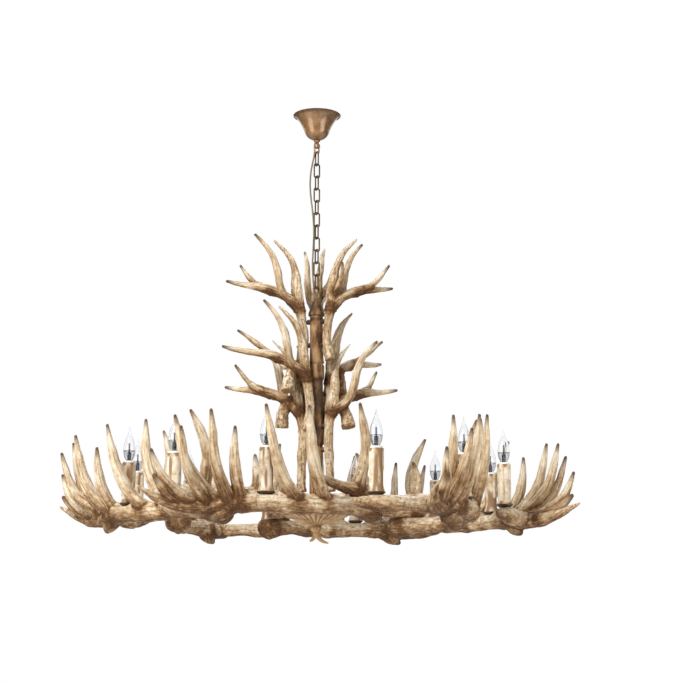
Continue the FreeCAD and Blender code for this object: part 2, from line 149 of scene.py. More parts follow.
def newMaterial(name, constants):
    paint = bpy.data.materials.new(name)
    paint.use_nodes = True
    shader = paint.node_tree.nodes["Principled BSDF"]
    for key, value in constants.items():
        shader.inputs[key].default_value = value
    return paint, Field(paint.node_tree), shader


def feed(start, shader, **inputs):
    for key, value in inputs.items():
        start.tree.links.new(value.socket, shader.inputs[key.replace("_", " ")])


def relief(start, height, depth, strength=1.0):
    return start.node("ShaderNodeBump", {"Height": height, "Distance": depth, "Strength": strength})


# Camera, light and backdrop

shot = {"place": (0.0, -4.6, -1.541), "tiltUp": 10.46, "panRight": 0.9, "halfFrame": 341,
        "focal": 1592}
studio = {
    "floor": -2.35, "floorHalf": 60.0, "floorColour": (0.93, 0.93, 0.93, 1), "floorRough": 0.9,
    "floorGlow": 0.75, "whiteFrom": (2.4, 7.0), "white": (1, 1, 1, 1),
    "ambient": 0.10, "ambientColour": (1, 0.985, 0.96, 1), "target": (0, 0, -1.0),
    "lamps": [("keyLamp", (-1.7, -3.0, 1.7), 1.0, 1.0, 166),
              ("leftStrip", (-2.0, -1.7, -1.1), 1.7, 1.9, 29),
              ("rightStrip", (2.0, -1.7, -1.1), 1.7, 1.9, 29),
              ("backLamp", (0.6, 2.4, 1.5), 1.6, 1.6, 92)]}


def aim(item, place, target):
    # turns an item's -Z axis to the target
    item.location = place
    way = np.array(target) - np.array(place)
    tilt = math.atan2(math.hypot(way[0], way[1]), -way[2])
    item.rotation_euler = (tilt, 0, math.atan2(-way[0], way[1]))


def makeCamera():
    lens = bpy.data.cameras.new("camera")
    lens.angle = 2 * math.atan(shot["halfFrame"] / shot["focal"])
    camera = bpy.data.objects.new("camera", lens)
    camera.location = shot["place"]
    camera.rotation_euler = (math.radians(90 + shot["tiltUp"]), 0, -math.radians(shot["panRight"]))
    addToScene(camera)
    bpy.context.scene.camera = camera
    bpy.context.scene.view_settings.view_transform = "Standard"


def makeLamps():
    for name, place, width, height, power in studio["lamps"]:
        light = bpy.data.lights.new(name, "AREA")
        light.shape = "RECTANGLE"
        light.size = width
        light.size_y = height
        light.energy = power
        lamp = bpy.data.objects.new(name, light)
        aim(lamp, place, studio["target"])
        addToScene(lamp)


def makeRoom():
    # white where it is seen, mirrored or looked through, and dim as a light
    world = bpy.data.worlds.new("paleRoom")
    world.use_nodes = True
    world.node_tree.nodes.clear()
    start = Field(world.node_tree)
    rays = [start.node("ShaderNodeLightPath", {}, "Is %s Ray" % kind)
            for kind in ("Camera", "Glossy", "Transmission")]
    seen = start.node("ShaderNodeClamp", {0: rays[0] + rays[1] + rays[2]})
    dim, white = [start.node("ShaderNodeBackground", {"Color": colour, "Strength": strength})
                  for colour, strength in ((studio["ambientColour"], studio["ambient"]),
                                           (studio["white"], 1.0))]
    both = start.node("ShaderNodeMixShader", {0: seen, 1: dim, 2: white})
    start.node("ShaderNodeOutputWorld", {"Surface": both}, None)
    bpy.context.scene.world = world


def makeFloor():
    half = studio["floorHalf"]
    corners = [(-half, -half), (half, -half), (half, half), (-half, half)]
    mesh = bpy.data.meshes.new("floor")
    mesh.from_pydata([(x, y, studio["floor"]) for x, y in corners], [], [(0, 1, 2, 3)])
    floor = bpy.data.objects.new("floor", mesh)
    addToScene(floor)
    paint, start, shader = newMaterial("floorPaint", {"Base Color": studio["floorColour"],
                                                      "Roughness": studio["floorRough"]})
    away = start.node("ShaderNodeVectorMath", {0: start.objectPlace()}, "Value", operation="LENGTH")
    far = away.step(*studio["whiteFrom"])
    share = far.spread(studio["floorGlow"], 1 - studio["floorGlow"])  # pure white at a distance
    seen = start.node("ShaderNodeLightPath", {}, "Is Camera Ray") * share
    glow = start.node("ShaderNodeEmission", {"Color": studio["white"], "Strength": 1.0})
    plain = Field(start.tree, shader.outputs[0])
    both = start.node("ShaderNodeMixShader", {0: seen, 1: plain, 2: glow})
    start.tree.links.new(both.socket, start.tree.nodes["Material Output"].inputs["Surface"])
    mesh.materials.append(paint)


# Finishes: a noise is (scale, detail, roughness), a stop (tone, colour), rough (low, rise)

antlerLook = {
    "specular": 0.14, "streak": (1.0, 5.0, 0.62), "fibre": (3.1, 3.0, 0.6),
    "blotch": (15.0, 3.0, 0.5), "mottle": (70.0, 4.0, 0.62), "speck": (150.0, 2.0, 0.5),
    "tone": 0.61, "noiseTones": (0.7, 0.6, 0.36, 0.18), "maskTones": (0.15, -0.43, -0.07),
    "stops": [(0.16, (0.085, 0.037, 0.014)), (0.32, (0.31, 0.175, 0.080)),
              (0.46, (0.52, 0.365, 0.210)), (0.60, (0.70, 0.555, 0.375)),
              (0.76, (0.83, 0.73, 0.57))],
    "grooveColour": (0.115, 0.048, 0.016, 1), "groove": (0.3, 0.9),
    "stainAndShadeColour": (0.20, 0.098, 0.040, 1), "stainEdge": (0.37, 0.47), "stainAndShade": (0.05, 0.45),
    "stainShadeShare": 0.3, "crackWidth": 0.02, "crackEdge": (0.55, 0.40), "crack": 0.3,
    "pitColour": (0.17, 0.082, 0.035, 1), "pitCrowd": 0.09, "pitEdge": (0.60, 0.71),
    "pitBase": 0.2, "pitBurr": (0.05, 0.6), "pit": 0.75,
    "sawnColour": (0.36, 0.205, 0.09, 1), "sawn": (0.45, 0.5),
    "tipColour": (0.10, 0.052, 0.025, 1), "tip": (0.6, 0.7),
    "rough": (0.38, 0.3), "grooveRough": 0.12, "heights": (0.5, 0.35, 0.4, -0.9, -0.3),
    "relief": 0.0017}


def antlerResin():
    # lengthwise grain from the piece's own grain attribute, with dark grooves, cracks and tips,
    # stains and pits near the burrs, brown sawn ends, and painted shade below and in creases
    # and hollows, where more of the stain colour gathers too
    look = antlerLook
    paint, start, shader = newMaterial("antlerResin", {"Specular IOR Level": look["specular"]})
    groove, tip, burr, sawn, pale, paintedShade = [
        start.attribute(name) for name in ("groove", "tip", "burr", "sawn", "pale", "paintedShade")]
    streak, fibre = start.noises(start.attribute("grain", "Vector"), look, "streak", "fibre")
    blotch, mottle, speck = start.noises(start.objectPlace(), look, "blotch", "mottle", "speck")
    tone = summed(look["tone"], [noise - 0.5 for noise in (streak, blotch, mottle, fibre)],
                  look["noiseTones"])
    # paler towards the tips, darker at the burrs, and darker with painted shade where the shade
    # mask is high
    tone = summed(tone, (pale, paintedShade, burr * burr), look["maskTones"])
    # stain mottles at the burrs, with more of them as painted shade where the shade mask is high
    stainAndShade = 1 - mottle.step(*look["stainEdge"])
    stainAndShade = stainAndShade * (burr.spread(*look["stainAndShade"]) + look["stainShadeShare"] * paintedShade)
    crack = 1 - start.calc("ABSOLUTE", fibre - 0.5, 0).step(0.0, look["crackWidth"])
    crack = crack * streak.step(*look["crackEdge"])
    pit = (speck + look["pitCrowd"] * burr).step(*look["pitEdge"])
    pit = pit * (look["pitBase"] + burr).step(*look["pitBurr"])
    colour = tone.ramp(look["stops"])
    for share, layer in ((groove * fibre.spread(*look["groove"]), "grooveColour"),
                         (stainAndShade.step(0.0, 1.0), "stainAndShadeColour"),
                         (crack * look["crack"], "stainAndShadeColour"), (pit * look["pit"], "pitColour"),
                         (sawn * fibre.spread(*look["sawn"]), "sawnColour"),
                         (tip * streak.spread(*look["tip"]), "tipColour")):
        colour = start.mixed(share, colour, look[layer])
    height = summed(0.0, (streak, fibre, mottle, pit, crack), look["heights"])
    feed(start, shader, Base_Color=colour,
         Roughness=fibre.spread(*look["rough"]) + look["grooveRough"] * groove,
         Normal=relief(start, height, look["relief"]))
    return paint


# Cloud finishes: tones and heights are shares of cloud and speck, rough is (base, tone, speck)

tanLook = {
    "constants": {"Specular IOR Level": 0.14}, "cloud": (38.0, 4.0, 0.6),
    "speck": (240.0, 2.0, 0.5), "tones": (0.8, 0.2),
    "stops": [(0.32, (0.22, 0.115, 0.048)), (0.48, (0.44, 0.27, 0.125)),
              (0.66, (0.62, 0.43, 0.235))],
    "rough": (0.46, 0.0, 0.2), "heights": (0.4, 0.6), "relief": 0.0012,
    # the mask is painted shade, in a dark brown
    "mask": "paintedShade", "maskColour": (0.055, 0.026, 0.010, 1), "maskShare": 0.9}
bronzeLook = {
    "constants": {"Specular IOR Level": 0.6, "Metallic": 0.3, "Coat Roughness": 0.16},
    "cloud": (26.0, 5.0, 0.65), "speck": (190.0, 3.0, 0.6), "tones": (0.75, 0.25),
    "stops": [(0.34, (0.140, 0.064, 0.019)), (0.50, (0.260, 0.128, 0.042)),
              (0.66, (0.41, 0.222, 0.083))],
    "rough": (0.20, 0.10, 0.0), "heights": (0.0, 1.0), "relief": 0.0001, "strength": 0.3,
    # the mask is painted shade: darker, rougher and with less of the coat
    "mask": "paintedShade", "maskColour": (0.060, 0.028, 0.010, 1), "maskShare": 0.7, "maskRough": 0.6,
    "coat": 0.9}
chainLook = {
    "constants": {"Metallic": 0.55}, "cloud": (60.0, 4.0, 0.6), "speck": (420.0, 2.0, 0.5),
    "tones": (0.7, 0.3),
    "stops": [(0.34, (0.032, 0.018, 0.009)), (0.52, (0.080, 0.048, 0.024)),
              (0.70, (0.19, 0.122, 0.064))],
    "rough": (0.34, 0.0, 0.26), "heights": (0.0, 1.0), "relief": 0.0003}
jacketLook = {
    "constants": {"Specular IOR Level": 0.3}, "cloud": (30.0, 2.0, 0.5),
    "speck": (320.0, 2.0, 0.5), "tones": (0.7, 0.3),
    "stops": [(0.0, (0.135, 0.098, 0.064)), (1.0, (0.30, 0.235, 0.165))],
    "rough": (0.48, 0.0, 0.2), "heights": (0.0, 1.0), "relief": 0.0002}
waxLook = {
    "constants": {"Specular IOR Level": 0.22}, "cloud": (45.0, 4.0, 0.6),
    "speck": (260.0, 2.0, 0.5), "tones": (1.0, 0.0),
    "stops": [(0.34, (0.46, 0.315, 0.175)), (0.50, (0.71, 0.59, 0.43)),
              (0.66, (0.83, 0.76, 0.63))],
    "rough": (0.38, 0.0, 0.2), "heights": (1.0, 0.0), "relief": 0.0008,
    # the mask is stains, with painted shade between the runs of wax
    "mask": "stainAndShade", "maskColour": (0.235, 0.115, 0.042, 1), "maskShare": 0.9,
    "maskCloud": (0.5, 1.2), "maskEdge": (0.2, 0.62)}


def cloudPaint(name, look):
    # coarse cloud and fine speck; a second colour where the mask, an attribute of the piece, is
    # high, with a border broken by the cloud, or with less of the clear coat; the mask is painted
    # shade on the canopy and corona, and stains with painted shade on the wax
    paint, start, shader = newMaterial(name, look["constants"])
    cloud, speck = start.noises(start.objectPlace(), look, "cloud", "speck")
    tone = summed(0.0, (cloud, speck), look["tones"])
    height = summed(0.0, (cloud, speck), look["heights"])
    colour = tone.ramp(look["stops"])
    base, *roughShares = look["rough"]
    rough = summed(base, (tone, speck), roughShares)
    if "mask" in look:
        mask = start.attribute(look["mask"])
        share = mask
        if "maskEdge" in look:
            share = (mask * cloud.spread(*look["maskCloud"])).step(*look["maskEdge"])
        colour = start.mixed(share * look["maskShare"], colour, look["maskColour"])
        if "coat" in look:
            rough = rough + look["maskRough"] * mask
            feed(start, shader, Coat_Weight=look["coat"] - look["coat"] * mask)
    feed(start, shader, Base_Color=colour, Roughness=rough,
         Normal=relief(start, height, look["relief"], look.get("strength", 1.0)))
    return paint


barkLook = {
    "specular": 0.25, "slant": (0.5, 0.35, 0), "stretch": (1, 1, 0.32),
    "smear": (46.0, 4.0, 0.62), "fibre": (210.0, 3.0, 0.6), "cloud": (11.0, 2.0, 0.5),
    "tone": 0.5, "noiseTones": (0.85, 0.4, 0.25), "shadowTone": 0.2,
    "stops": [(0.36, (0.055, 0.026, 0.010)), (0.46, (0.165, 0.084, 0.032)),
              (0.56, (0.31, 0.175, 0.075)), (0.70, (0.47, 0.30, 0.145))],
    "rough": (0.36, 0.3), "heights": (0.6, 0.4), "relief": 0.0016, "fittingShade": 0.11}


def barkPaint(name, shade):
    # brown column paint: long dark smears on a slant, like bark, with painted shadow from the
    # piece's shade mask
    look = barkLook
    paint, start, shader = newMaterial(name, {"Specular IOR Level": look["specular"]})
    place = start.objectPlace()
    slant = start.node("ShaderNodeMapping", {"Vector": place, "Rotation": look["slant"],
                                             "Scale": look["stretch"]})
    smear, fibre = start.noises(slant, look, "smear", "fibre")
    cloud, = start.noises(place, look, "cloud")
    tone = summed(look["tone"], [noise - 0.5 for noise in (smear, cloud, fibre)],
                  look["noiseTones"])
    # darker by the painted shadow near the fittings, and by the given shade
    tone = tone - start.attribute("paintedShade") * look["shadowTone"] - shade
    height = summed(0.0, (smear, fibre), look["heights"])
    feed(start, shader, Base_Color=tone.ramp(look["stops"]), Roughness=fibre.spread(*look["rough"]),
         Normal=relief(start, height, look["relief"]))
    return paint


glassLook = {
    "ior": 1.45, "clear": (0.95, 0.96, 0.97, 1), "cup": (0.74, 0.75, 0.77, 1),
    "cupEnd": (0.026, 0.029), "line": (0.25, 0.25, 0.26, 1), "lineLow": (0.0265, 0.028),
    "lineHigh": (0.0285, 0.030), "edgeReflection": (0.24, 0.245, 0.255, 1), "edgeReflectionBlend": 0.4,
    "edgeReflectionFrom": (0.45, 0.95), "edgeReflectionShare": 0.75, "cloud": (60.0, 3.0, 0.55), "rough": 0.04}


def clearGlass():
    # clear glass with a painted dark reflection at its edges, grey in the cup below the widest
    # part, which ends in a dark line
    look = glassLook
    paint, start, shader = newMaterial("clearGlass", {"Transmission Weight": 1.0,
                                                      "IOR": look["ior"]})
    place = start.objectPlace()
    height = start.node("ShaderNodeSeparateXYZ", {0: place}, "Z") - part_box("bulb_glass")[0][2]
    cup = 1.0 - height.step(*look["cupEnd"])
    line = height.step(*look["lineLow"]) * (1.0 - height.step(*look["lineHigh"]))
    # painted dark reflection where the surface is seen at a glancing angle
    facing = start.node("ShaderNodeLayerWeight", {"Blend": look["edgeReflectionBlend"]}, "Facing")
    colour = start.mixed(cup, look["clear"], look["cup"])
    colour = start.mixed(line, colour, look["line"])
    colour = start.mixed(facing.step(*look["edgeReflectionFrom"]) * look["edgeReflectionShare"], colour, look["edgeReflection"])
    cloud, = start.noises(place, look, "cloud")
    feed(start, shader, Base_Color=colour, Roughness=cloud * look["rough"])
    return paint


fittingLook = {"detail": 4.0, "grain": 0.6, "roughRise": 0.2, "relief": 0.0002}


def plainFinish(name, dark, light, scale, rough, constants):
    # even finish with a fine cloud of tone, for small fittings
    paint, start, shader = newMaterial(name, constants)
    look = {"cloud": (scale, fittingLook["detail"], fittingLook["grain"])}
    cloud, = start.noises(start.objectPlace(), look, "cloud")
    feed(start, shader, Base_Color=start.mixed(cloud, dark, light),
         Roughness=cloud.spread(rough, fittingLook["roughRise"]),
         Normal=relief(start, cloud, fittingLook["relief"]))
    return paint


# Paths and surfaces

def polar(angle, radius, height):
    a = math.radians(angle)
    return (radius * math.cos(a), radius * math.sin(a), height)


def roundAngles(count):
    return np.linspace(0, fullTurn, count, endpoint=False)


def runLength(path):
    # length along a path up to each of its points
    return np.concatenate([[0.0], np.cumsum(np.linalg.norm(np.diff(path, axis=0), axis=1))])


def fromUpright(spot, centre):
    # distance of places from an upright line
    return np.linalg.norm(spot[:, :2] - np.array(centre)[:2], axis=1)


def bell(x, width):
    # 1 at 0, falling off smoothly on both sides
    return np.exp(-(x / width) ** 2)


def unit(x):
    return np.clip(x, 0, 1)


def partly(share, values):
    # 1 where the values are 1, 1 - share where they are 0
    return 1 - share + share * values


def smoothPath(points, count):
    # natural cubic through the points, its parameter the chord length; gives places and directions
    p = np.array(points, float)
    h = np.linalg.norm(np.diff(p, axis=0), axis=1)
    u = runLength(p)
    size = len(p)
    matrix = np.eye(size)
    right = np.zeros((size, 3))
    inner = np.arange(1, size - 1)
    matrix[inner, inner - 1] = h[:-1]
    matrix[inner, inner] = 2 * (h[:-1] + h[1:])
    matrix[inner, inner + 1] = h[1:]
    slope = np.diff(p, axis=0) / h[:, None]
    right[inner] = 6 * np.diff(slope, axis=0)
    bend = np.linalg.solve(matrix, right)
    t = np.linspace(0, u[-1], count)
    k = np.clip(np.searchsorted(u, t, side="right") - 1, 0, size - 2)
    a = ((u[k + 1] - t) / h[k])[:, None]
    b = 1 - a
    hk = h[k][:, None]
    curl = ((a**3 - a) * bend[k] + (b**3 - b) * bend[k + 1]) * hk**2 / 6
    place = a * p[k] + b * p[k + 1] + curl
    ahead = slope[k] - (3 * a**2 - 1) / 6 * hk * bend[k] + (3 * b**2 - 1) / 6 * hk * bend[k + 1]
    return place, ahead / np.linalg.norm(ahead, axis=1)[:, None]


def sideways(ahead):
    # two directions square to the path, steady along it because one guide serves all of it
    guide = np.array((0.31, 0.87, 0.38))
    side = guide - ahead * (ahead @ guide)[:, None]
    side /= np.linalg.norm(side, axis=1)[:, None]
    return side, np.cross(ahead, side)


def tubeSurface(place, side, over, radius, around):
    # rings of the given radius carried along a path, with a pole at each end
    theta = roundAngles(around)[None, :, None]
    ring = np.cos(theta) * side[:, None] + np.sin(theta) * over[:, None]
    grid = place[:, None] + ring * radius[..., None]
    count = len(place)
    verts = np.concatenate([grid.reshape(-1, 3), place[:1], place[-1:]])
    i = np.arange(count - 1)[:, None] * around
    j = np.arange(around)
    nextJ = (j + 1) % around
    quads = np.stack([i + j, i + nextJ, i + around + nextJ, i + around + j], -1).reshape(-1, 4)
    first = count * around
    last = (count - 1) * around
    low = np.stack([nextJ, j, np.full(around, first)], -1)
    high = np.stack([last + j, last + nextJ, np.full(around, first + 1)], -1)
    return verts, quads.tolist() + low.tolist() + high.tolist()


def tubeCells(theta, z, size, length, shift):
    # places for a noise that closes on itself round an upright tube
    x, y, rise = shift
    return np.stack(np.broadcast_arrays(np.cos(theta) * size + x, np.sin(theta) * size + y,
                                        z / length + rise), -1)


def uprightTube(centre, heights, radius, around):
    # tube on an upright axis, its radius given for each height and angle
    axis = np.zeros((len(heights), 3))
    axis[:, 2] = heights
    side = np.tile((1.0, 0.0, 0.0), (len(axis), 1))
    over = np.tile((0.0, 1.0, 0.0), (len(axis), 1))
    return tubeSurface(axis + centre, side, over, radius, around)


def joined(shells):
    # several (places, faces) as one
    faces = []
    offset = 0
    for verts, own in shells:
        faces += [[i + offset for i in face] for face in own]
        offset += len(verts)
    return np.concatenate([verts for verts, own in shells]), faces


def turnedSkin(r, z, around):
    # closed outline of radius and height carried once round Z; both may change on the way round
    theta = roundAngles(around)[None]
    verts = np.stack(np.broadcast_arrays(r * np.cos(theta), r * np.sin(theta), z), -1)
    i = np.arange(len(r))[:, None] * around
    nextI = np.roll(i, -1, axis=0)
    j = np.arange(around)[None]
    nextJ = (j + 1) % around
    faces = np.stack([i + j, nextI + j, nextI + nextJ, i + nextJ], -1)
    return verts.reshape(-1, 3), faces.reshape(-1, 4).tolist()


def arcRun(corners, heading, inset, steps):
    # arcs through (radius, height) corners, each tangent to the one before, moved square to
    # itself by the inset; arcs share their ends
    points = []
    for (r0, z0), (r1, z1) in zip(corners, corners[1:]):
        swing = math.atan2(z1 - z0, r1 - r0) - heading
        radius = math.hypot(r1 - r0, z1 - z0) / (2 * math.sin(swing))
        way = heading + 2 * swing * np.linspace(0, 1, steps)
        r = r0 - radius * math.sin(heading) + (radius - inset) * np.sin(way)
        z = z0 + radius * math.cos(heading) - (radius - inset) * np.cos(way)
        run = np.stack([r, z], 1)
        points.append(run[1:] if points else run)
        heading += 2 * swing
    return np.concatenate(points)


latticeHash = {"primes": (73856093, 19349663, 83492791), "mixer": 2654435761, "span": 2**32}


def latticeNoise(p):
    # random values on a unit lattice, blended smoothly between its corners, -1 to 1
    p = p.reshape(-1, 3)
    cell = np.floor(p).astype(np.int64)
    part = p - cell
    part = part * part * (3 - 2 * part)
    total = np.zeros(len(p))
    for corner in np.ndindex(2, 2, 2):
        x, y, z = ((cell + corner) * latticeHash["primes"]).T
        value = ((x ^ y ^ z) * latticeHash["mixer"]) % latticeHash["span"]
        weight = np.prod(np.where(np.array(corner) == 1, part, 1 - part), axis=1)
        total += (value / (latticeHash["span"] / 2) - 1) * weight
    return total


def addPiece(name, mesh, paint):
    mesh.polygons.foreach_set("use_smooth", np.ones(len(mesh.polygons), bool))
    mesh.materials.clear()
    mesh.materials.append(paint)
    mesh.update()
    piece = bpy.data.objects.new(name, mesh)
    addToScene(piece)
    return piece


def newPiece(name, verts, faces, paint):
    mesh = bpy.data.meshes.new(name)
    mesh.from_pydata(verts.tolist(), [], faces)
    return addPiece(name, mesh, paint)


def keep(mesh, name, kind, values):
    # stores one value, or one vector, for each vertex
    layer = mesh.attributes.new(name, kind, "POINT")
    field = "vector" if kind == "FLOAT_VECTOR" else "value"
    layer.data.foreach_set(field, values.astype(np.float32).ravel())


# Canopy

canopy = {"dia": 143.0, "lip": 3.0, "wall": 1.2, "waist": (74.0, -54.0), "bore": 10.2,
          "flare": -132.0, "around": 128, "steps": 24, "rimFade": 8, "rimShade": 0.85,
          "lipShade": 0.95}


def makeCanopy(paint):
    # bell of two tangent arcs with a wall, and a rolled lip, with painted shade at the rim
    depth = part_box("canopy")[0][2] / mm
    outer = canopy["dia"] / 2
    lip = canopy["lip"]
    waistDia, waistHeight = canopy["waist"]
    corners = [(outer - lip, 0), (waistDia / 2, waistHeight), (canopy["bore"] / 2, depth)]
    flare = math.radians(canopy["flare"])
    steps = canopy["steps"]
    outside = arcRun(corners, flare, 0, steps)
    inside = arcRun(corners, flare, -canopy["wall"], steps)[::-1]
    wall = np.concatenate([outside, inside])
    wall[:, 1] = np.minimum(wall[:, 1], 0)
    turn = roundAngles(steps)
    ring = lip / 2 * np.stack([np.cos(turn), -np.sin(turn)], 1) + (outer - lip / 2, -lip / 2)
    dome, hoop = [turnedSkin(outline[:, :1], outline[:, 1:], canopy["around"])
                  for outline in (wall, ring)]
    verts, faces = joined([dome, hoop])
    piece = newPiece("canopyBell", verts * mm, faces, paint)
    # painted shade, dark and matt, on the bell near its top rim and on the rolled lip
    rim = canopy["rimShade"] * bell(dome[0][:, 2], canopy["rimFade"])
    lipShade = np.full(len(hoop[0]), canopy["lipShade"])
    keep(piece.data, "paintedShade", "FLOAT", np.concatenate([rim, lipShade]))
    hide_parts("canopy")
    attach(piece, "ceiling")


# Antlers

cast = {
    "around": 30, "rowStep": 6, "leastRows": 20, "tipDia": 8.0, "taper": 2.4, "rootFlare": 0.1,
    "flareFade": 14, "bow": 0.095, "leastBow": 0.15, "wobble": 1.4, "tineWobble": 3.0,
    "wobblePitch": 38, "wobbleStart": 0.7, "wobbleSkew": 0.8, "oval": 0.06, "ovalPitch": 70,
    "voxel": 2.4, "soften": 6, "softenShare": 0.5, "batch": 3000}


def limb(points, root=None, dias=None, sawnEnds=(), burrEnds=(0,)):
    # one beam or tine: places, frames and radii along it, in millimetres
    length = runLength(points)[-1]
    count = max(cast["leastRows"], int(length / cast["rowStep"]))
    place, ahead = smoothPath(points, count)
    side, over = sideways(ahead)
    share = np.linspace(0, 1, count)
    if root:
        # a tine is bowed further the way it bends already, a nearly straight one the most
        arch = place - place[0] - share[:, None] * (place[-1] - place[0])
        rise = np.linalg.norm(arch, axis=1).max()
        place = place + arch * max(cast["leastBow"], cast["bow"] * length / rise - 1)
        dia = cast["tipDia"] + (root - cast["tipDia"]) * (1 - share**cast["taper"])
        dia = dia + cast["rootFlare"] * root * np.exp(-cast["flareFade"] * share)
    else:
        dia = np.interp(share, np.linspace(0, 1, len(dias)), dias)
    along = runLength(place)
    sway = np.sin(math.pi * share) * (cast["tineWobble"] * share if root else cast["wobble"])
    turn = along / cast["wobblePitch"] + points[0][2] * cast["wobbleStart"]
    place = place + side * (sway * np.sin(turn))[:, None]
    place = place + over * (sway * np.cos(cast["wobbleSkew"] * turn))[:, None]
    return {"place": place, "side": side, "over": over, "radius": dia / 2, "along": along,
            "share": share, "isTine": root is not None, "sawnEnds": sawnEnds, "burrEnds": burrEnds}


def antlerSkin(name, limbs):
    # limbs as oval tubes that overlap, remeshed into one soft skin
    theta = roundAngles(cast["around"])[None]
    tubes = []
    for part in limbs:
        oval = 1 + cast["oval"] * np.cos(2 * theta + part["along"][:, None] / cast["ovalPitch"])
        tubes.append(tubeSurface(part["place"], part["side"], part["over"],
                                 part["radius"][:, None] * oval, cast["around"]))
    verts, faces = joined(tubes)
    raw = bpy.data.meshes.new(name + "Raw")
    raw.from_pydata((verts * mm).tolist(), [], faces)
    holder = bpy.data.objects.new(name + "Raw", raw)
    addToScene(holder)
    skin = holder.modifiers.new("skin", "REMESH")
    skin.mode = "VOXEL"
    skin.voxel_size = cast["voxel"] * mm
    soften = holder.modifiers.new("soften", "SMOOTH")
    soften.factor = cast["softenShare"]
    soften.iterations = cast["soften"]
    return finishedMesh(holder)


def vertexValues(mesh, key):
    values = np.empty(len(mesh.vertices) * 3)
    mesh.vertices.foreach_get(key, values)
    return values.reshape(-1, 3)


marks = {
    "grainCell": 4.2, "grainTine": 0.075, "grainBeam": 0.2, "grainApart": 17.0,
    "tineBurr": 42, "beamBurr": 48, "beamBase": 0.25,
    "sawnDepth": 9, "sawnFacing": 0.45, "sawnEdge": 3, "tipFull": 1.25, "tipFade": 28,
    "driftPitch": 34, "driftApart": 9.1, "ridges": 7, "ridgeDrift": 2.6, "ridgePitch": 90,
    "fineRidges": 12, "fineDrift": 2, "finePitch": 55, "fineShare": 0.7,
    "smoothTip": 60, "pearlCell": 7.5, "lumpCell": 26, "swellCell": 41, "groove": 0.75,
    "pearl": 2.47, "lump": 1.5, "beamLump": 3.0, "web": 5.0, "webFade": 8, "creaseFade": 6,
    "driftRow": 0.5, "leastRelief": 0.12, "grooveLump": 0.45, "pearlFloor": -0.3, "swellApart": 5,
    "valleyBurr": 0.4, "dark": 0.62, "darkFrom": 0.14, "darkPearl": 0.4, "pearlGap": -0.2,
    "pale": 1.5, "paleFrom": 0.35, "paleBeam": 0.15, "paleLump": 0.4,
    "underShade": 0.8, "underSide": 0.25, "underFacing": 0.75, "creaseShade": 0.9,
    "hollowShade": 0.25, "hollowFrom": 0.15, "burrShade": 0.35}


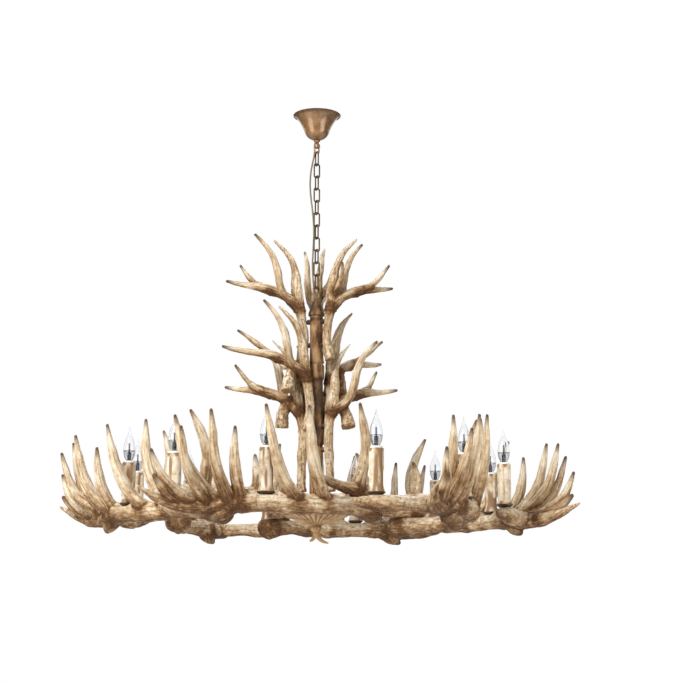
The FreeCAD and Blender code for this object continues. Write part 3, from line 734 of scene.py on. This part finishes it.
def castAntler(name, limbs):
    # limbs joined into one skin, then raised or sunk along its normals by ridges that run
    # lengthwise, pearls at the burrs, lumps, and webs where limbs meet; grain and masks go with it
    mesh = antlerSkin(name, limbs)
    spot = vertexValues(mesh, "co") / mm
    normal = vertexValues(mesh, "normal")
    count = len(spot)
    place, side, over, radius, along, share = [
        np.concatenate([part[key] for part in limbs])
        for key in ("place", "side", "over", "radius", "along", "share")]
    sizes = [len(part["share"]) for part in limbs]
    starts = np.cumsum([0] + sizes[:-1])

    # nearest point of a limb, and the distance to the second nearest limb
    nearest = np.empty(count, int)
    crease = np.empty(count)
    for low in range(0, count, cast["batch"]):
        rows = slice(low, low + cast["batch"])
        gap = np.linalg.norm(spot[rows, None] - place[None], axis=2) - radius[None]
        nearest[rows] = gap.argmin(1)
        crease[rows] = np.partition(np.minimum.reduceat(gap, starts, axis=1), 1, axis=1)[:, 1]
    crease = np.maximum(crease, 0)
    lane = np.repeat(np.arange(len(limbs)), sizes)[nearest]
    isTine = np.array([part["isTine"] for part in limbs])[lane]
    s = along[nearest]
    reach = np.array([part["along"][-1] for part in limbs])[lane] - s
    away = spot - place[nearest]
    cosine = (away * side[nearest]).sum(1)
    sine = (away * over[nearest]).sum(1)
    angle = np.arctan2(sine, cosine)

    # masks from the place on the limb
    stretch = np.where(isTine, marks["grainTine"], marks["grainBeam"])
    grain = np.stack([cosine, sine, s * stretch + lane * marks["grainApart"]], 1)
    burr = np.where(isTine, np.exp(-s / marks["tineBurr"]), marks["beamBase"])
    sawn = np.zeros(count)
    for index, part in enumerate(limbs):
        here = lane == index
        for end in () if part["isTine"] else part["burrEnds"]:
            fromEnd = np.abs(s - end * part["along"][-1])
            burr = np.where(here, np.maximum(burr, np.exp(-fromEnd / marks["beamBurr"])), burr)
        for end in part["sawnEnds"]:
            path = part["place"] if end else part["place"][::-1]
            forward = (path[-1] - path[-2]) / np.linalg.norm(path[-1] - path[-2])
            close = np.abs(s - end * part["along"][-1]) < marks["sawnDepth"]
            facing = (normal @ forward - marks["sawnFacing"]) * marks["sawnEdge"]
            sawn = np.where(here & close, unit(facing), sawn)
    tip = np.where(isTine, unit(marks["tipFull"] - reach / marks["tipFade"]), 0)

    # relief
    drift = latticeNoise(np.stack([s / marks["driftPitch"], lane * marks["driftApart"],
                                   np.full(count, marks["driftRow"])], 1))
    coarse = np.sin(angle * marks["ridges"] + marks["ridgeDrift"] * drift + s / marks["ridgePitch"])
    fine = np.sin(angle * marks["fineRidges"] - marks["fineDrift"] * drift
                  + s / marks["finePitch"] + lane)
    ridge = coarse + marks["fineShare"] * fine
    fade = np.clip(reach / marks["smoothTip"], marks["leastRelief"], 1)
    pearl, lump, swell = [latticeNoise(spot / marks[key] + apart) for key, apart in (
        ("pearlCell", 0), ("lumpCell", 0), ("swellCell", marks["swellApart"]))]
    depth = marks["groove"] * ridge * fade * partly(marks["grooveLump"], lump)
    depth += marks["pearl"] * burr * np.maximum(pearl, marks["pearlFloor"])
    depth += marks["lump"] * lump * fade + np.where(isTine, 0, marks["beamLump"]) * swell
    depth += marks["web"] * np.exp(-crease / marks["webFade"])
    depth *= 1 - sawn

    # dark in valleys and between pearls, pale towards tips, and painted shade below, in creases and
    # hollows
    valley = ridge * partly(marks["valleyBurr"], burr) * fade
    dark = unit(-marks["dark"] * valley - marks["darkFrom"]) * (1 - sawn)
    dark += marks["darkPearl"] * burr * (pearl < marks["pearlGap"])
    pale = unit(marks["pale"] * share[nearest] - marks["paleFrom"])
    pale = np.where(isTine, pale, marks["paleBeam"]) * partly(marks["paleLump"], lump)
    # painted shade: darker on the undersides, in creases between limbs, in hollows and between
    # pearls at the burrs
    paintedShade = marks["underShade"] * unit(marks["underSide"] - marks["underFacing"] * normal[:, 2])
    paintedShade += marks["creaseShade"] * np.exp(-crease / marks["creaseFade"])
    paintedShade += (marks["hollowShade"] * unit(-marks["hollowFrom"] - lump)
             + marks["burrShade"] * burr * unit(-pearl))
    for key, values in (("groove", unit(dark)), ("tip", tip), ("burr", burr),
                        ("sawn", sawn), ("pale", pale), ("paintedShade", unit(paintedShade))):
        keep(mesh, key, "FLOAT", values)
    keep(mesh, "grain", "FLOAT_VECTOR", grain / marks["grainCell"])
    print(name, "skin", count, "vertices")
    return mesh, spot + normal * depth[:, None]


def placeAntler(name, node, mesh, spot, angle, shift, paint):
    # copy of a casting, turned about Z and moved, with its place in its mesh
    a = math.radians(angle)
    matrix = np.array(((math.cos(a), -math.sin(a), 0), (math.sin(a), math.cos(a), 0), (0, 0, 1)))
    own = mesh.copy()
    own.name = name
    own.vertices.foreach_set("co", ((spot @ matrix.T + np.array(shift)) * mm).ravel())
    piece = addPiece(name, own, paint)
    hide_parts(node)
    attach(piece, "fixture")


ring = {
    "count": 6, "start": 178.0, "beamDia": 50.0, "spokeDia": 42.0, "reach": 755.0,
    "lampRadius": 545.0, "lampAngles": (18.5, -11.5), "seatShare": 0.85, "plateThickness": 6.0,
    "plateDia": 200.0, "plateMargin": 10, "bossDia": 58.0, "bossMargin": 16, "joint": (50, 415, 0),
    "jointDia": 190.0, "gap": 0.2, "seatSlope": 0.3, "seatHeight": 40, "dishDia": 48.0,
    "dishMargin": 1, "dishSlope": 0.8, "tuskTip": 8.0, "spokeTip": 7.5}


def ringAngles():
    return [ring["start"] + 360 / ring["count"] * i for i in range(ring["count"])]


def placeRound(name, node, mesh, spot, paint):
    # one copy for each sixth of the ring
    for number, angle in enumerate(ringAngles(), 1):
        placeAntler("%s%d" % (name, number), "%s_%d" % (node, number), mesh, spot, angle, (0, 0, 0),
                    paint)


def plateTop():
    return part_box("hub_plate")[0][2] / mm + ring["plateThickness"]


def makeRing(paint):
    # beam with a tusk, its burr, a fan of tines, two tall tines, a palm and an arm for a lamp,
    # cut flat under the spoke antler and under the dishes
    d = ring["beamDia"]
    axisHeight = plateTop() - ring["seatShare"] * d / 2
    lampRadius = ring["lampRadius"]
    fan = ring["reach"] - lampRadius

    def put(rows):
        # (angle, outward of the lamps, up from the beam's axis)
        return [polar(angle, lampRadius + out, axisHeight + rise) for angle, out, rise in rows]

    limbs = [
        limb(put([(53, -143, -6), (44, -105, 0), (31, -53, 0), (18.5, 0, 0), (8, 37, -4),
                  (1, 89, -8), (-3, 150, 6), (-4.5, fan, 36)]),
             dias=[d * 1.16, d * 0.98, d * 0.96, d, d * 1.12, d * 0.92, d * 0.6,
                   ring["tuskTip"]], burrEnds=(0, 0.6)),
        limb(put([(51.5, -136, -6), (54, -147, -7), (56.5, -158, -6)]),
             dias=[d * 1.06, d * 1.24, d * 1.16, d * 0.6], burrEnds=(0, 1))]
    tines = [
        (28, [(0, 95, -4), (-1, 145, 22), (-1.5, fan - 17, 62)]),
        (30, [(2.5, 75, -4), (-0.3, 151, 46), (-2, fan - 13, 128)]),
        (32, [(5, 57, -2), (4.6, 138, 68), (4.5, fan - 23, 182)]),
        (34, [(7, 43, -2), (3.6, 115, 80), (1.5, fan - 51, 215)]),
        (34, [(9.5, 33, -2), (9.5, 102, 85), (9.5, fan - 65, 226)]),
        (32, [(12.5, 21, -2), (12.7, 59, 70), (13, 85, 188)]),
        (36, [(27, -37, 0), (23, 20, 82), (20, 67, 245)]),
        (38, [(35, -68, 0), (32, -35, 105), (30, -15, 252)]),
        (44, [(9, 31, -4), (8, 37, -24), (5, 51, -46)])]
    limbs += [limb(put(rows), root) for root, rows in tines]
    limbs.append(limb(put([(4, 61, -3), (-5, 25, -3), (-13, 2, 0), (-17.5, -7, 0)]),
                      dias=[d * 0.76, d * 0.76, d * 0.94, d * 0.5], burrEnds=(0, 1)))
    mesh, spot = castAntler("ringAntler", limbs)
    low = spot[:, 2] < axisHeight + ring["seatHeight"]

    def cut(centre, radius, top, slope):
        # nothing of the beam stands above a flat seat, which slopes up beyond its radius
        beyond = np.maximum(fromUpright(spot, centre) - radius, 0)
        spot[low, 2] = np.minimum(spot[:, 2], top + slope * beyond)[low]

    cut(polar(*ring["joint"]), ring["jointDia"] / 2, plateTop() - ring["gap"],
        ring["seatSlope"])
    for angle in ring["lampAngles"]:
        cut(polar(angle, lampRadius, 0), ring["dishDia"] / 2 + ring["dishMargin"],
            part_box("drip_dishes")[0][2] / mm, ring["dishSlope"])
    placeRound("ringAntler", "ring_antler", mesh, spot, paint)


def makeSpokes(paint):
    # beam with a tusk and two tines, cut flat on the hub plate and on the ring antler
    d = ring["spokeDia"]
    seat = plateTop()
    axisHeight = seat + ring["seatShare"] * d / 2
    inner = ring["bossDia"] / 2 + ring["bossMargin"]

    def put(rows):
        # (angle, radius, up from the beam's axis)
        return [polar(angle, radius, axisHeight + rise) for angle, radius, rise in rows]

    limbs = [
        limb(put([(62, inner, 0), (61, 150, 0), (58, 270, 3), (53, 366, 0), (46, 430, 0),
                  (38, 451, 18), (30, 444, 48)]),
             dias=[d * 0.94, d, d * 1.05, d * 1.1, d * 1.02, d * 0.72, ring["spokeTip"]],
             sawnEnds=(0,)),
        limb(put([(46, 430, 0), (49, 436, 112), (46, 474, 228)]), 36),
        limb(put([(58, 288, 0), (57.5, 290, 62), (55, 280, 118)]), 28)]
    mesh, spot = castAntler("spokeAntler", limbs)
    fromJoint = fromUpright(spot, polar(*ring["joint"])) - ring["jointDia"] / 2
    fromPlate = fromUpright(spot, (0, 0)) - ring["plateDia"] / 2 - ring["plateMargin"]
    beyond = np.maximum(np.minimum(fromJoint, fromPlate), 0)
    spot[:, 2] = np.maximum(spot[:, 2], seat + ring["gap"] - ring["seatSlope"] * beyond)
    placeRound("spokeAntler", "spoke_antler", mesh, spot, paint)


crown = {
    "legDia": 27.0, "legTip": 5.0, "stubDia": 41.0, "tubeDia": 39.0, "standoff": 9.0,
    "seatShare": 0.85, "midReach": 0.6, "sides": ("left", "right", "back"), "tiers": [
        {"below": "column_cap", "drop": 21, "foot": -158, "lean": -6, "stubbed": False, "reach": 0,
         "hand": 1, "places": [(186, 181), (324, 30), (88, 90)]},
        {"below": "column_collar_1", "drop": 43, "foot": -158, "lean": 4, "stubbed": True,
         "reach": 30, "hand": 1, "places": [(240, 192), (34, 50), (142, 110)]},
        {"below": "column_collar_2", "drop": -50, "foot": -232, "lean": 4, "stubbed": True,
         "reach": 10, "hand": -1, "places": [(190, 166), (336, 30), (94, 80)]}]}


def crownLimbs(tier):
    # leg that ends in a tine, second tine, forward tine with its fork, and a stub or a small tine
    d = crown["legDia"]
    b = crown["stubDia"]
    reach = tier["reach"]
    midReach = crown["midReach"] * reach

    def put(rows):
        # (outward, sideways, up from the seat)
        return [(x, y * tier["hand"], z) for x, y, z in rows]

    limbs = [
        limb(put([(5, tier["lean"], tier["foot"]), (0, 0, -112), (2, 0, -40), (9, 0, 4),
                  (15, 2, 44), (21, -4, 96), (41, -12, 158), (88, -22, 212)]),
             dias=[d * 1.2, d, d, d, d, d * 0.9, d * 0.66, crown["legTip"]], sawnEnds=(0,)),
        limb(put([(12, 0, 8), (50, 14, 42), (74, 24, 100), (100, 30, 162), (144, 38, 216)]), 25),
        limb(put([(8, 0, -4), (46, -4, 30), (106, -8, 56), (172 + midReach, -6, 70),
                  (228 + reach, 0, 82)]), 28),
        limb(put([(92, -7, 51), (144, -26, 92), (188 + midReach, -46, 140)]), 19)]
    if tier["stubbed"]:
        limbs.append(limb(put([(42, -4, 28), (60, 0, -8), (66, 6, -44)]),
                          dias=[b * 0.78, b * 0.9, b], sawnEnds=(1,), burrEnds=(0.2, 1)))
    else:
        limbs.append(limb(put([(20, 0, 36), (25, -30, 84), (22, -46, 132)]), 17))
    return limbs


def makeCrown(paint):
    # one casting for each tier, three copies of it round the column
    seatRadius = crown["tubeDia"] / 2 + crown["standoff"]
    seatRadius += crown["seatShare"] * crown["legDia"] / 2
    for number, tier in enumerate(crown["tiers"], 1):
        mesh, spot = castAntler("crownAntler%d" % number, crownLimbs(tier))
        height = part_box(tier["below"])[1][2] / mm - tier["drop"]
        for side, (seat, facing) in zip(crown["sides"], tier["places"]):
            name = "crownAntler%d%s" % (number, side.capitalize())
            node = "crown_antler_%d_%s" % (number, side)
            placeAntler(name, node, mesh, spot, facing, polar(seat, seatRadius, height), paint)


# Corona bowl

corona = {"bore": 10.0, "around": 720, "rows": 80, "ribs": 30, "ribHeight": 2.4, "ribFrom": 15,
          "ribRise": 10, "rimRise": 10, "beads": 72, "beadHeight": 2.6, "beadAt": 11,
          "beadHalf": 4, "shadePower": 1.5, "shadeRise": 6,
          "outline": [(100, 0), (104, -5.5), (97, -11), (57, -24.8), (17.1, -40)]}


def makeCorona(paint):
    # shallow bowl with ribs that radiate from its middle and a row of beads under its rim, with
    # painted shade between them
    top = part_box("hub_plate")[0][2] / mm
    around = corona["around"]
    place, ahead = smoothPath([(r, 0, z) for r, z in corona["outline"]], corona["rows"])
    along = runLength(place)[:, None]
    theta = roundAngles(around)[None]
    rib = np.sqrt(0.5 + 0.5 * np.cos(corona["ribs"] * theta))
    rib = rib * unit((along - corona["ribFrom"]) / corona["ribRise"])
    bead = np.sqrt(unit(1 - ((along - corona["beadAt"]) / corona["beadHalf"]) ** 2))
    bead = bead * (0.5 + 0.5 * np.cos(corona["beads"] * theta))
    lift = corona["ribHeight"] * (rib - 1) * unit(along / corona["rimRise"])
    lift = lift + corona["beadHeight"] * bead
    r = place[:, :1] - ahead[:, 2:] * lift
    z = top + place[:, 2:] + ahead[:, :1] * lift
    bore = np.full((1, around), corona["bore"] / 2)
    r = np.concatenate([r, bore, bore])
    z = np.concatenate([z, z[-1:], np.full((1, around), top)])
    verts, faces = turnedSkin(r, z, around)
    piece = newPiece("coronaBowl", verts * mm, faces, paint)
    # painted shade in the gaps between ribs and beads, fading in over the first millimetres from
    # the rim
    paintedShade = unit(1 - np.maximum(rib, bead)) ** corona["shadePower"]
    paintedShade = paintedShade * unit(along / corona["shadeRise"])
    keep(piece.data, "paintedShade", "FLOAT", np.concatenate([paintedShade.ravel(), np.zeros(2 * around)]))
    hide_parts("hub_corona")
    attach(piece, "fixture")


# Candle sleeves

candle = {
    "dia": 36.0, "thinner": 0.5, "inner": 27.6, "around": 72, "rows": 60, "seed": 7,
    "runs": 8, "runWidth": (0.20, 0.40), "runEnd": (0.04, 0.66), "runFade": 6, "runShare": 0.8,
    "bead": 2.6, "beadUp": 4, "beadHalf": 5.5, "beadWide": 0.7, "freeFrom": 14, "freeRise": 16,
    "rim": 5.5, "rimFoot": 0.28, "pool": 4.2, "poolFade": 11,
    "lip": 2.2, "lipRise": 0.3, "lipDrop": 1.5, "streakRound": 2.2, "streakLength": 42,
    "topStain": 0.8, "topFade": 11, "topWaves": 5, "footStain": 0.45, "footFade": 12,
    "streakApart": 5, "stainAndShade": 0.45, "stainStreak": 0.6, "stainMost": 0.8, "valley": 2.2}


def waxCover(random, theta, z, height):
    # share of wax at each place: runs of random heading, width and end, each with a bead at its end
    cover = np.zeros((len(z), theta.shape[1]))
    for _ in range(candle["runs"]):
        heading = random.uniform(0, fullTurn)
        width = random.uniform(*candle["runWidth"])
        end = height * random.uniform(*candle["runEnd"])
        off = np.abs((theta - heading + math.pi) % fullTurn - math.pi) / width
        body = np.exp(-off**2) * unit((z - end) / candle["runFade"])
        drop = (z - end - candle["beadUp"]) / candle["beadHalf"]
        bead = np.exp(-off**2 * candle["beadWide"] - drop**2)
        cover = np.maximum(cover, np.maximum(body * candle["runShare"], bead))
    return cover


def waxStainAndShade(cover, theta, z, height, number, angle):
    # painted shade between the runs, broken by brown streaks, stains in waves below the top, and
    # brown at the foot
    cells = tubeCells(theta, z, candle["streakRound"], candle["streakLength"],
                      (candle["streakApart"] * number, angle, 0))
    streak = latticeNoise(cells).reshape(cover.shape)
    brown = np.clip(candle["stainAndShade"] + candle["stainStreak"] * streak, 0, candle["stainMost"])
    # painted shade in the valleys between the runs, broken by brown streaks
    stainAndShade = unit(1 - candle["valley"] * cover) * brown
    wave = 0.5 + 0.5 * np.sin(theta * candle["topWaves"] + number)
    top = candle["topStain"] * bell(height - z, candle["topFade"]) * wave
    foot = candle["footStain"] * bell(z, candle["footFade"])
    return np.maximum(np.maximum(stainAndShade, top), foot)


def makeCandles(paint):
    # upright tubes whose radius swells under runs of wax and in a pool at the foot
    low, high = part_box("candle_sleeves")
    base = low[2] / mm
    height = (high[2] - low[2]) / mm
    random = np.random.default_rng(candle["seed"])
    around = candle["around"]
    theta = roundAngles(around)[None]
    z = np.linspace(0, height, candle["rows"])[:, None]
    rim = candle["rim"]
    rising = candle["rimFoot"] + (1 - candle["rimFoot"]) * z / rim
    pool = np.where(z < rim, rising, bell(z - rim, candle["poolFade"]))
    free = unit((z - candle["freeFrom"]) / candle["freeRise"])
    heights = np.concatenate([z[:, 0], [height + candle["lipRise"], height - candle["lipDrop"]]])
    lip = np.full((1, around), candle["dia"] / 2 - candle["lip"])
    bore = np.full((1, around), candle["inner"] / 2)
    tubes = []
    stainsAndShade = []
    for number, ringAngle in enumerate(ringAngles()):
        for angle in ring["lampAngles"]:
            centre = np.array(polar(angle + ringAngle, ring["lampRadius"], base))
            cover = waxCover(random, theta, z, height)
            radius = candle["dia"] / 2 - candle["thinner"] + candle["pool"] * pool
            radius = radius + candle["bead"] * cover * free
            tubes.append(uprightTube(centre, heights, np.concatenate([radius, lip, bore]), around))
            stainAndShade = waxStainAndShade(cover, theta, z, height, number, angle)
            stainsAndShade.append(np.concatenate([stainAndShade.ravel(), np.zeros(2 * around + 2)]))
    verts, faces = joined(tubes)
    piece = newPiece("candleSleeves", verts * mm, faces, paint)
    keep(piece.data, "stainAndShade", "FLOAT", np.concatenate(stainsAndShade))
    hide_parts("candle_sleeves")
    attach(piece, "fixture")


# Column tubes

column = {
    "dia": 39.0, "around": 96, "rowStep": 2.0, "relief": 0.9, "windPitch": 150, "cellsRound": 2.6,
    "cellLength": 34, "apart": 7, "fineCells": (3, 3, 2.2), "coarse": 0.65, "fine": 0.35,
    "sink": 0.25, "shadow": 7.0, "fittings": ("column_cap", "column_collar_1", "column_collar_2")}


def makeColumn(paint):
    # upright tubes with bark ridges that wind slowly round, with painted shadow where they go into
    # their fittings
    around = column["around"]
    theta = roundAngles(around)[None]
    edges = [corner[2] for fitting in column["fittings"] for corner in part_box(fitting)]
    for number in (1, 2, 3):
        node = "column_tube_%d" % number
        low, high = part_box(node)
        z = np.arange(low[2] / mm, high[2] / mm, column["rowStep"])[:, None]
        wind = theta + z / column["windPitch"]
        cells = tubeCells(wind, z, column["cellsRound"], column["cellLength"],
                          (0, 0, number * column["apart"]))
        ridge = latticeNoise(cells).reshape(wind.shape)
        fine = latticeNoise(cells * column["fineCells"]).reshape(wind.shape)
        bark = column["coarse"] * ridge + column["fine"] * fine - column["sink"]
        radius = column["dia"] / 2 + column["relief"] * bark
        verts, faces = uprightTube(np.zeros(3), z[:, 0], radius, around)
        piece = newPiece("columnTube%d" % number, verts * mm, faces, paint)
        fromEdge = np.abs(verts[:, 2:] - np.array(edges)[None] / mm).min(1)
        # painted shadow in bands where the tube goes into the cap and collars
        keep(piece.data, "paintedShade", "FLOAT", bell(fromEdge, column["shadow"]))
        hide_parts(node)
        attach(piece, "fixture")


# Power cable

cable = {
    "dia": 5.0, "side": 163.0, "sway": 3, "swayPitch": 40, "order": 3, "resolution": 12,
    "around": 16, "tuck": 4.0, "turns": [
        (7.2, -102), (7.2, -118), (11.5, -139), (18.5, -172), (21.5, -212), (19, -253),
        (13.5, -294), (9.5, -336), (8.8, -378), (11, -420), (13, -460), (11.5, -498), (9, -532),
        (8.3, -556), (8.3, -575)],
    "splits": (-138, -320, -514), "bodies": [("ceiling", "top_link"), ("top_link", "chain"),
                                             ("chain", "bottom_link"), ("bottom_link", "fixture")]}


def cableRoute():
    # points read from one smooth spline through the route's (radius, height) turns
    turns = cable["turns"]
    points = []
    for i, (radius, height) in enumerate(turns):
        inner = 2 <= i < len(turns) - 2  # both ends stand straight in their fittings
        sway = cable["sway"] * math.sin(height / cable["swayPitch"]) if inner else 0
        points.append(polar(cable["side"] + sway, radius, height))
    curve = bpy.data.curves.new("cableRoute", "CURVE")
    curve.dimensions = "3D"
    curve.resolution_u = cable["resolution"]
    spline = curve.splines.new("NURBS")
    spline.points.add(len(points) - 1)
    for target, point in zip(spline.points, points):
        target.co = (*[x * mm for x in point], 1)
    spline.order_u = cable["order"]
    spline.use_endpoint_u = True
    holder = bpy.data.objects.new("cableRoute", curve)
    addToScene(holder)
    return vertexValues(finishedMesh(holder), "co")


def makeCable(paint):
    # four lengths that meet end to end, each across one joint of the chain
    route = cableRoute()
    tuck = np.array((0, 0, cable["tuck"] * mm))
    route = np.concatenate([route[:1] + tuck, route, route[-1:] - tuck])
    splits = [int(np.abs(route[:, 2] - z * mm).argmin()) for z in cable["splits"]]
    ends = [0] + splits + [len(route) - 1]
    for number, bodies in enumerate(cable["bodies"]):
        name = "cable%d" % (number + 1)
        path = route[ends[number]:ends[number + 1] + 1]
        ahead = np.gradient(path, axis=0)
        ahead /= np.linalg.norm(ahead, axis=1)[:, None]
        side, over = sideways(ahead)
        radius = np.full((len(path), 1), cable["dia"] / 2 * mm)
        verts, faces = tubeSurface(path, side, over, radius, cable["around"])
        piece = newPiece(name, verts, faces, paint)
        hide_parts("power_cable")
        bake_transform(piece)


# Fittings shown as their solids

plainFittings = [
    ("zincSteel", (0.30, 0.29, 0.27, 1), (0.55, 0.54, 0.52, 1), 90, 0.3, {"Metallic": 0.9},
     ("ceiling_bracket", "threaded_nipple", "bracket_nut", "tie_rod", "ring_pins", "hub_screws",
      "candle_stems")),
    ("whiteGlaze", (0.78, 0.76, 0.70, 1), (0.92, 0.91, 0.87, 1), 70, 0.18, {}, ("lamp_holders",)),
    ("terminalPlastic", (0.68, 0.67, 0.62, 1), (0.82, 0.81, 0.77, 1), 80, 0.4, {},
     ("terminal_block",)),
    ("bulbStem", (0.030, 0.030, 0.032, 1), (0.11, 0.11, 0.115, 1), 120, 0.15, {"Metallic": 0.7},
     ("bulb_mounts",)),
    ("bulbCap", (0.42, 0.36, 0.24, 1), (0.66, 0.60, 0.45, 1), 120, 0.2, {"Metallic": 0.95},
     ("bulb_caps",))]


def paintNodes(paint, *names):
    for name in names:
        slots = nodes[name].data.materials
        slots.clear()
        slots.append(paint)


makeCamera()
makeLamps()
makeRoom()
makeFloor()
print("studio placed")
makeCable(cloudPaint("cableJacket", jacketLook))
print("cable placed")
resin = antlerResin()
makeRing(resin)
makeSpokes(resin)
makeCrown(resin)
print("antlers placed")
makeCandles(cloudPaint("candleWax", waxLook))
makeColumn(barkPaint("barkPaint", 0.0))
print("candles and column placed")
bronze = cloudPaint("bronzePaint", bronzeLook)
makeCanopy(bronze)
tan = cloudPaint("castTan", tanLook)
makeCorona(tan)
print("canopy and corona placed")
paintNodes(bronze, "canopy_loop")
paintNodes(tan, "finial")
paintNodes(cloudPaint("darkBronze", chainLook), "chain_link_top", "chain_links",
           "chain_link_bottom", "drip_dishes", "crown_standoffs")
paintNodes(barkPaint("darkBark", barkLook["fittingShade"]), "column_eye", "column_cap",
           "column_collar_1", "column_collar_2", "hub_plate")
paintNodes(clearGlass(), "bulb_glass")
for *finish, names in plainFittings:
    paintNodes(plainFinish(*finish), *names)
print("fittings painted")
